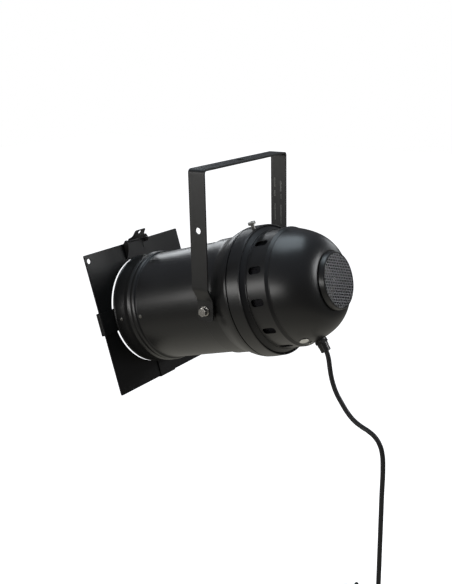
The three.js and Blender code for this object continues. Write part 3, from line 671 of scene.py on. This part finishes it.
def make_rivets():
    head = [
        (3.45, 0.3, 0.15), (3.45, 0.75, 0.3), (2.9, 1.35, 0.6), (1.6, 1.65, 0.4), (1.2, 1.2, 0.2), (0, 1.15),
    ]
    for turn, name in RIVET_TURNS.items():
        for i, (place, r) in enumerate(RIVETS, 1):
            end, seat = FOOT_BORE - 1.4 - r, FOOT_BORE - 0.6 - r
            stem = [(0, end), (3.2, end, 0.3), (3.2, seat, 0.2), (1.9, seat), (1.9, 0.3)]
            rivet = lathe(rounded(stem + head, closed=False), 32)
            rivet_place = CAN @ out_of_can(r, place, turn)
            piece(f"pop_rivet_{name}_{i}", rivet, rivet_place, "can", RIVET, f"rivet_{name}_{i}")


make_barrel()
make_housing()
make_rivets()


# ---------- filter frame, its brackets and the latch ----------
SHEET = 1.2
BRACKET_HALF = 20
HINGE = (-205, 129.5)


def bracket_foot(turn=0):
    """The curved strip in the barrel that a bracket stands on, with its rivet holes at that turn."""
    half = degrees(BRACKET_HALF / 93.3)
    strip = lathe(box(FOOT_BORE, FOOT_R, -214.3, -145, 0.3), 24, -half, half)
    holes = [shifted(rod(2.3, -12, 12, 20), out_of_can(93, place, turn)) for place, _ in RIVETS]
    return cut(strip, *holes)


def make_bracket(turn, name, wall, shift):
    path2d = [(-213.7, 92.9), (-213.7, wall - 0.6, 2.2), (-222.4, wall - 0.6, 2.2), (-222.4, 119)]
    path2d = rounded(path2d, closed=False, steps=6)
    channel = slab(sheet_outline(path2d, SHEET), -BRACKET_HALF + shift, BRACKET_HALF + shift, "YZ")
    channel = soften(channel, 0.3, 2, 50)
    body = joined(channel, bracket_foot(degrees(atan2(shift, FOOT_R))))
    piece(f"channel_{name}", body, CAN @ rot(turn, "Y"), "can", COAT, f"frame_bracket_{name}")


def make_latch_bracket():
    foot = bracket_foot()
    plate = [
        (-20, 91), (20, 91), (20, 98, 1), (28, 100, 2),
        (28, 127.8, 0.4), (-28, 127.8, 0.4), (-28, 100, 2), (-20, 98, 1),
    ]
    parts = [foot, soften(slab(rounded(plate), -214.3, -213.1, "XZ"), 0.3, 2, 50)]
    for x, low, back in ((-27.4, 121, -203.4), (27.4, 101, -211.2)):
        ear = [
            (-213.9, low, 1), (back, low, 1), (-202, 125, 3),
            (-202, 132.4, 3), (-208, 132.4, 3), (-213.9, 127, 2),
        ]
        ear = slab(rounded(ear), x - SHEET / 2, x + SHEET / 2, "YZ")
        ear = cut(ear, shifted(rod(1.5, -30, 30, 20), move(0, *HINGE) @ along_x(1)))
        parts.append(soften(ear, 0.25, 2, 50))
    return piece("latch_mount", joined(*parts), CAN, "can", COAT, "latch_bracket")


def make_latch():
    hinge = CAN @ move(0, *HINGE)
    cap = lathe(rounded([(0, 28.2), (1.9, 28.2, 0.3), (1.9, 29, 0.4), (0, 29)], closed=False), 24)
    pin = joined(rod(1.2, -29, 29, 24, 0.3), cap)
    piece("hinge_pin", pin, hinge @ along_x(1), "can", DARK, "latch_pin")
    tip, half, long = 14, 25, 22
    outline = rounded([
        (-half, 3.4, 0.6), (half, 3.4, 0.6), (half, 6.4, 2), (tip + 1.5, 8.5, 5),
        (tip, long, 4.5), (-tip, long, 4.5), (-tip - 1.5, 8.5, 5), (-half, 6.4, 2),
    ], steps=8)
    eye = shifted(rod(3.3, -5, 5, 40), move(0, 16, 0) @ rot(90, "X"))
    sheet = cut(slab(outline, -SHEET / 2, SHEET / 2), eye)
    parts = [soften(sheet, 0.25, 2, 50)]
    hook = rounded([
        (5, 0, 0), (1.6, 0.0, 1.2), (0.4, -1.9, 1.2), (-1.4, -1.5, 1.2),
        (-1.9, 0.3, 1.2), (-0.8, 1.8, 1.2), (1.2, 2.0, 0),
    ], closed=False, steps=5)
    for low, high in ((-8, 22), (-25, -21.5)):
        parts.append(slab(sheet_outline(hook, 1.0), low, high, "YZ"))
    rib = shifted(rod(1.3, -10, 10, 16, 1.0), move(0, 9.6, -0.1) @ along_x(1))
    parts.append(rib)
    piece("latch_lever", joined(*parts), hinge @ rot(45, "X"), "latch", DARK, "latch_flap")
    near, coil_r, coil_long, coil_steps = -20.2, 2.4, 11, 80
    points = [Vector((near, y, z)) for y, z in ((-7.0, -18), (-6.4, -13), (-4.6, -8))]
    for i in range(coil_steps + 1):
        a = pi + 2 * pi * i / 16
        points.append(Vector((near + coil_long * i / coil_steps, coil_r * cos(a), -coil_r * sin(a))))
    spring = curve_of("torsion_spring", [hinge @ p for p in points], 0.00055, COAT, 3)
    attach(spring, "can")
    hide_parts("latch_spring")


def make_frame():
    half, rear, thick, leaf = 127, -215.6, 2.6, 0.9
    leaves = []
    for low in (rear - thick, rear - leaf):
        leaf_body = slab(box(-half, half, -half, half, 2.5, 5), low, low + leaf, "XZ")
        tools = [rod(98.4, rear - 6, rear + 4, 160)]
        tools.append(shifted(rod(4.6, rear - 6, rear + 4, 40), move(half - 9, 0, half - 11.5)))
        leaves.append(soften(cut(leaf_body, *tools), 0.3, 2, 50))
    lap, bend = half - 2.2, half - 1
    fold = rounded([
        (lap, rear - thick), (half, rear - thick, 1.2), (half, rear, 1.2), (lap, rear),
        (lap, rear - leaf), (bend, rear - leaf), (bend, rear - thick + leaf), (lap, rear - thick + leaf),
    ])
    body = joined(*leaves, slab(fold, 1 - half, half - 1))
    return piece("colour_frame", body, CAN, "filter_frame", COAT, "filter_frame")


make_bracket(90, "left", 130.2, -3.5)
make_bracket(180, "bottom", 128.6, 0)
make_bracket(270, "right", 130.2, 3.5)
make_latch_bracket()
make_latch()
make_frame()


# ---------- lamp ----------
def make_lamp():
    front = [(0, 45), (35, 45.8), (68, 48.2), (95.5, 51.9, 2)]
    rim = [(101.5, 51.9, 1), (101.5, 54.2, 0.6), (98, 54.6)]
    lens = lathe(rounded(front + rim + [(96, 55.4), (66, 51.4), (34, 48.9), (0, 48.2)], closed=False), 128)
    bowl = [
        (98, 54.8), (101.5, 55.0, 0.6), (101.5, 57.5, 1), (97, 59.5, 2), (91, 68), (84, 81), (74, 97),
        (61, 113), (46, 127, 6), (34, 134, 3), (30, 138, 0.5), (6, 138), (6, 132), (31, 132),
        (43, 125.5), (58, 111.5), (71, 95.5), (81, 79.5), (88, 66.5), (94, 56.4),
    ]
    lens_piece = piece("lamp_lens", lens, CAN, "can", LENS)
    piece("lamp_reflector", lathe(rounded(bowl), 96), CAN, "can", MIRROR, "lamp_envelope")
    wire = [(101.9 + 1.3 * cos(pi * k / 8), 59.2 + 1.3 * sin(pi * k / 8)) for k in range(16)]
    piece("retaining_wire", lathe(wire, 120, 186, 534), CAN, "can", ZINC, "lamp_retaining_ring")


make_lamp()


# ---------- collar, cap and grille ----------
def make_collar():
    bore = 105.6
    outline = [
        (bore, 50.2, 0.3), (108.4, 50.2, 0.5), (109, 51, 0.6), (109, 54),
        (108.1, 72, 0.6), (107.6, 74, 0.6), (106.9, 74.5, 0.4), (bore, 74.5, 0.4),
    ]
    hole = shifted(rod(3.3, -10, 10, 24), out_of_can(bore, *SCREW))
    band = cut(lathe(rounded(outline), 160), hole)
    return piece("collar_band", band, CAN, "can", COAT, "collar_ring", 30)


def make_thumbscrew():
    head = [(0, 105.3), (2.9, 105.3, 0.3), (2.9, 115.6), (5.7, 115.6, 0.4)]
    head += [(6.4, 116.3, 0.3), (6.4, 119.7, 0.4), (5.7, 120.4, 0.4), (0, 120.4)]
    screw = lathe(rounded(head, closed=False), 48)
    flutes = [shifted(rod(0.55, 114, 122, 10), rot(18 * k, "Y") @ move(0, 0, 6.55)) for k in range(20)]
    screw = cut(screw, *flutes, block(-0.5, 0.5, 119.5, 122, -7, 7))
    threads = [ring(3, 2.7, 106 + 0.9 * k, 106.5 + 0.9 * k, 32, 0.12) for k in range(10)]
    screw = joined(screw, *threads)
    piece("knurled_screw", screw, CAN @ out_of_can(0, *SCREW), "thumbscrew", NICKEL, "thumbscrew")


def make_cap():
    outer = [
        (103.4, 66.4, 0.3), (105, 66.4, 0.4), (105, 73, 0.8), (98.9, 79.2, 0.5), (98.9, 80.5, 0.5),
        (97.2, 81.3, 0.6), (97.2, 114.6, 0.7), (93.6, 119.4, 0.9),
    ]
    start, end, wall = 121.2, 178.6, 1.6
    under = end - wall
    steps = 26
    dome = []
    for i in range(steps + 1):
        place = start + (end - start) * sin(pi / 2 * i / steps)
        dome.append((dome_r(place), place))
    mouth = [(43.9, end, 0.2), (43.9, under, 0.2)]
    inner = [(r - wall, min(place, under)) for r, place in dome[: steps - 1]]
    skirt = [(91.8, 119.2, 1), (95.6, 113, 1), (95.6, 81.5, 1), (97.3, 78.5, 1), (103.4, 72.3, 1)]
    body = lathe(rounded(outer + dome + mouth + inner[::-1] + skirt), 192)
    vents = 12
    slots = []
    for k in range(vents):
        slots.append(shifted(slab(box(-6, 6, 84.5, 107.5, 5.6, 8), 88, 110), rot(360 / vents * k, "Y")))
    gland = shifted(rod(10.3, -20, 20, 40), GLAND_PLACE)
    earth = shifted(rod(2.4, -20, 20, 20), on_dome(*EARTH))
    body = cut(body, *slots, gland, earth)
    body = soften(body, 0.3, 2, 60)
    return piece("vented_cap", body, CAN, "rear_cap", COAT, "rear_cap", 30)


def make_baffle():
    """The dark band behind the vents. Its material paints its pierced face, with the holes painted near black
    as painted shade behind them.
    """
    outline = [
        (90, 82, 0.3), (91.2, 82, 0.3), (91.2, 110.4, 0.5),
        (95.2, 110.4, 0.3), (95.2, 111.6, 0.3), (90, 111.6, 0.5),
    ]
    piece("light_shield", lathe(rounded(outline), 120), CAN, "rear_cap", MESH, "light_baffle")


def make_grille():
    outline = [
        (42.2, 173.6, 0.3), (43.6, 173.6, 0.2), (43.6, 179.4, 0.2), (46.8, 179.5, 0.5),
        (46.3, 183, 0.8), (45.3, 187.2, 0.8), (44.3, 188.4, 0.5), (42.9, 188.4, 0.4),
        (42.9, 186.4, 0.2), (40.5, 186.4, 0.2), (40.5, 184.8, 0.4), (42.2, 184.2, 0.4),
    ]
    piece("grille_rim", lathe(rounded(outline), 120), CAN, "rear_cap", COAT, "grille_ring", 30)
    sheet = perforated(r=42.6, low=187.3, thick=0.6, pitch=5.1, hole=1.9, turn=16.9)
    piece("grille_sheet", sheet, CAN, "rear_cap", GRILLE, "rear_grille")


def perforated(r, low, thick, pitch, hole, turn):
    """A round sheet with staggered round holes: hexagonal cells, each a ring of quads about its hole."""
    verts, faces = [], []
    sides = 12
    angles = [pi / 6 * k for k in range(sides)]
    reach = int(r / pitch) + 3
    rise = pitch * sqrt(3) / 2
    for row in range(-reach, reach + 1):
        for col in range(-reach, reach + 1):
            cx, cz = pitch * (col + (row % 2) / 2), rise * row
            if cx * cx + cz * cz > (r + pitch) ** 2:
                continue
            for face in (low, low + thick):
                start = len(verts)
                for a in angles:
                    edge = pitch / 2 / cos(((a + pi / 6) % (pi / 3)) - pi / 6)
                    verts.append((cx + edge * cos(a), face, cz + edge * sin(a)))
                for a in angles:
                    verts.append((cx + hole * cos(a), face, cz + hole * sin(a)))
                for k in range(sides):
                    n = (k + 1) % sides
                    faces.append((start + k, start + n, start + sides + n, start + sides + k))
            top, bottom = len(verts) - sides, len(verts) - 3 * sides
            for k in range(sides):
                n = (k + 1) % sides
                faces.append((bottom + k, bottom + n, top + n, top + k))
    sheet = raw(verts, faces)
    work = bmesh.new()
    work.from_mesh(sheet.data)
    edges = [e for e in work.edges if e.is_boundary]
    bmesh.ops.bridge_loops(work, edges=edges)
    bmesh.ops.recalc_face_normals(work, faces=work.faces)
    work.to_mesh(sheet.data)
    work.free()
    return cut(shifted(sheet, rot(-turn, "Y")), rod(r, low - 3, low + thick + 3, 120), how="INTERSECT")


make_collar()
make_thumbscrew()
make_cap()
make_baffle()
make_grille()


# ---------- gland, label and earth screw ----------
def make_gland():
    place = CAN @ GLAND_PLACE
    base = soften(hexagon(20.4, 1.2, 6, 0.4), 0.4, 2, 25)
    base = cut(base, rod(9, 5.5, 12, 40, 0.5), rod(9.8, -12, 1.8, 48, 0.3), how="UNION")
    piece("gland_base", cut(base, rod(4.6, -20, 20, 32)), place, "rear_cap", PLASTIC, "gland_body")
    nut = soften(hexagon(22, 6.3, 20.0, 1.4), 0.8, 3, 25)
    end = [(0, 12), (8.4, 12), (8.4, 20.2, 0.6), (7.6, 21, 0.5), (0, 21)]
    nut = cut(nut, lathe(rounded(end, closed=False), 60), how="UNION")
    nut = cut(nut, rod(9.3, 0, 12, 40), rod(4.5, 8, 30, 32))
    piece("gland_cap", nut, place, "rear_cap", PLASTIC, "gland_nut")


def make_small_parts():
    outline = [(0, -5), (2, -5), (2, 0.4), (3.4, 0.4, 0.2), (3.4, 1.3, 0.5), (2.4, 2.4, 0.6), (0, 2.6)]
    screw = lathe(rounded(outline, closed=False), 36)
    wide, reach, low, high = 0.45, 2.4, 1.6, 4
    cross = block(-wide, wide, low, high, -reach, reach), block(-reach, reach, low, high, -wide, wide)
    screw = cut(screw, *cross)
    piece("earthing_screw", screw, CAN @ on_dome(*EARTH), "rear_cap", NICKEL, "earth_screw")
    outline = [(0, 0.35), (7.5, 0.35), (7.5, 0.62, 0.1), (7.2, 0.72, 0.1), (0, 0.8)]
    label = lathe(rounded(outline, closed=False), 60)
    piece("plain_round_label", label, CAN @ on_dome(*LABEL), "rear_cap", FOIL, "round_label")


make_gland()
make_small_parts()


# ---------- CAD nodes that stay ----------
def keep(node, material):
    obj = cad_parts[node]
    for face in obj.data.polygons:
        face.use_smooth = True
    obj.data.set_sharp_from_angle(angle=radians(30))
    if not obj.material_slots:
        obj.data.materials.append(material)
    for held in obj.material_slots:
        held.material = material


for pair in (("tilt_nut_left", "tilt_nut_right"), ("lamp_pin_1", "lamp_pin_2"),
             ("lampholder_screw_1", "lampholder_screw_2")):
    for node in pair:
        keep(node, ZINC)
for node in ("lamp_base", "lampholder"):
    keep(node, CERAMIC)
keep("lampholder_bar", DARK)
keep("gland_seal", RUBBER)
keep("gland_locknut", PLASTIC)
keep("live_wire", wire_look("brown_wire", "wire_brown", (0.1, 0.035, 0.015)))
keep("neutral_wire", wire_look("blue_wire", "wire_blue", (0.02, 0.05, 0.25)))
keep("earth_wire", wire_look("green_wire", "wire_green", (0.12, 0.3, 0.03)))


# ---------- floor and light ----------
def make_floor():
    floor = block(-12, 12, -12, 12, -1.62, -1.6)
    floor.name = "floor"
    look = bpy.data.materials.new("floor")
    look.use_nodes = True
    shader = look.node_tree.nodes["Principled BSDF"]
    shader.inputs["Base Color"].default_value = (0.9, 0.9, 0.9, 1)
    shader.inputs["Emission Color"].default_value = (1, 1, 1, 1)
    shader.inputs["Emission Strength"].default_value = 1.0
    floor.data.materials.append(look)
    floor.visible_diffuse = False
    floor.visible_glossy = False


def make_world():
    """White to the eye; a dim room to the object: warm from below, dark all round, cool from above."""
    world = bpy.data.worlds.new("studio")
    bpy.context.scene.world = world
    world.use_nodes = True
    nodes, links = world.node_tree.nodes, world.node_tree.links
    lit = nodes["Background"]
    lit.inputs["Strength"].default_value = 1.0
    parts = nodes.new("ShaderNodeSeparateXYZ")
    links.new(nodes.new("ShaderNodeTexCoord").outputs["Generated"], parts.inputs["Vector"])
    height = nodes.new("ShaderNodeMapRange")
    height.inputs["From Min"].default_value = -1
    links.new(parts.outputs["Z"], height.inputs["Value"])
    ramp = nodes.new("ShaderNodeValToRGB")
    tones = [
        (0.0, (0.66, 0.64, 0.57)), (0.12, (0.42, 0.41, 0.37)), (0.24, (0.36, 0.35, 0.32)),
        (0.33, (0.11, 0.108, 0.1)), (0.6, (0.1, 0.1, 0.105)), (0.8, (0.18, 0.19, 0.215)),
        (1.0, (0.24, 0.26, 0.3)),
    ]
    while len(ramp.color_ramp.elements) < len(tones):
        ramp.color_ramp.elements.new(0.5)
    for stop, (at, tone) in zip(ramp.color_ramp.elements, tones):
        stop.position = at
        stop.color = (*tone, 1)
    links.new(height.outputs["Result"], ramp.inputs["Fac"])
    links.new(ramp.outputs["Color"], lit.inputs["Color"])
    seen = nodes.new("ShaderNodeBackground")
    seen.inputs["Strength"].default_value = 1.0
    seen.inputs["Color"].default_value = (1, 1, 1, 1)
    rays = nodes.new("ShaderNodeLightPath")
    mix = nodes.new("ShaderNodeMixShader")
    links.new(rays.outputs["Is Camera Ray"], mix.inputs["Fac"])
    links.new(lit.outputs[0], mix.inputs[1])
    links.new(seen.outputs[0], mix.inputs[2])
    links.new(mix.outputs[0], nodes["World Output"].inputs["Surface"])


def soft_light(name, place, target, width, height, power, color=(1, 1, 1)):
    data = bpy.data.lights.new(name, "AREA")
    data.shape = "RECTANGLE"
    data.size, data.size_y = width, height
    data.energy = power
    data.color = color
    lamp = bpy.data.objects.new(name, data)
    bpy.context.scene.collection.objects.link(lamp)
    lamp.location = place
    lamp.visible_camera = False
    lamp.rotation_euler = (Vector(target) - Vector(place)).to_track_quat("-Z", "Y").to_euler()


bpy.context.scene.view_settings.view_transform = "Standard"
make_floor()
make_world()
CENTRE = (0, 0, -0.23)
soft_light("overhead", (-0.42, -0.36, 1.5), CENTRE, 1.2, 1.2, 14, (0.8, 0.92, 1.0))
soft_light("side", (1.62, -0.5, 0.08), CENTRE, 1.7, 0.4, 13, (1.0, 0.99, 0.97))
soft_light("rear", (-0.85, 1.5, 0.45), CENTRE, 0.8, 0.5, 9.5, (0.98, 0.99, 1.0))
soft_light("far_front", (-1.05, -1.34, 0.34), CENTRE, 0.5, 0.4, 2.6, (0.93, 0.97, 1.0))
soft_light("far_side", (-1.6, 0.25, 0.15), CENTRE, 0.8, 0.4, 1.6, (0.93, 0.97, 1.0))
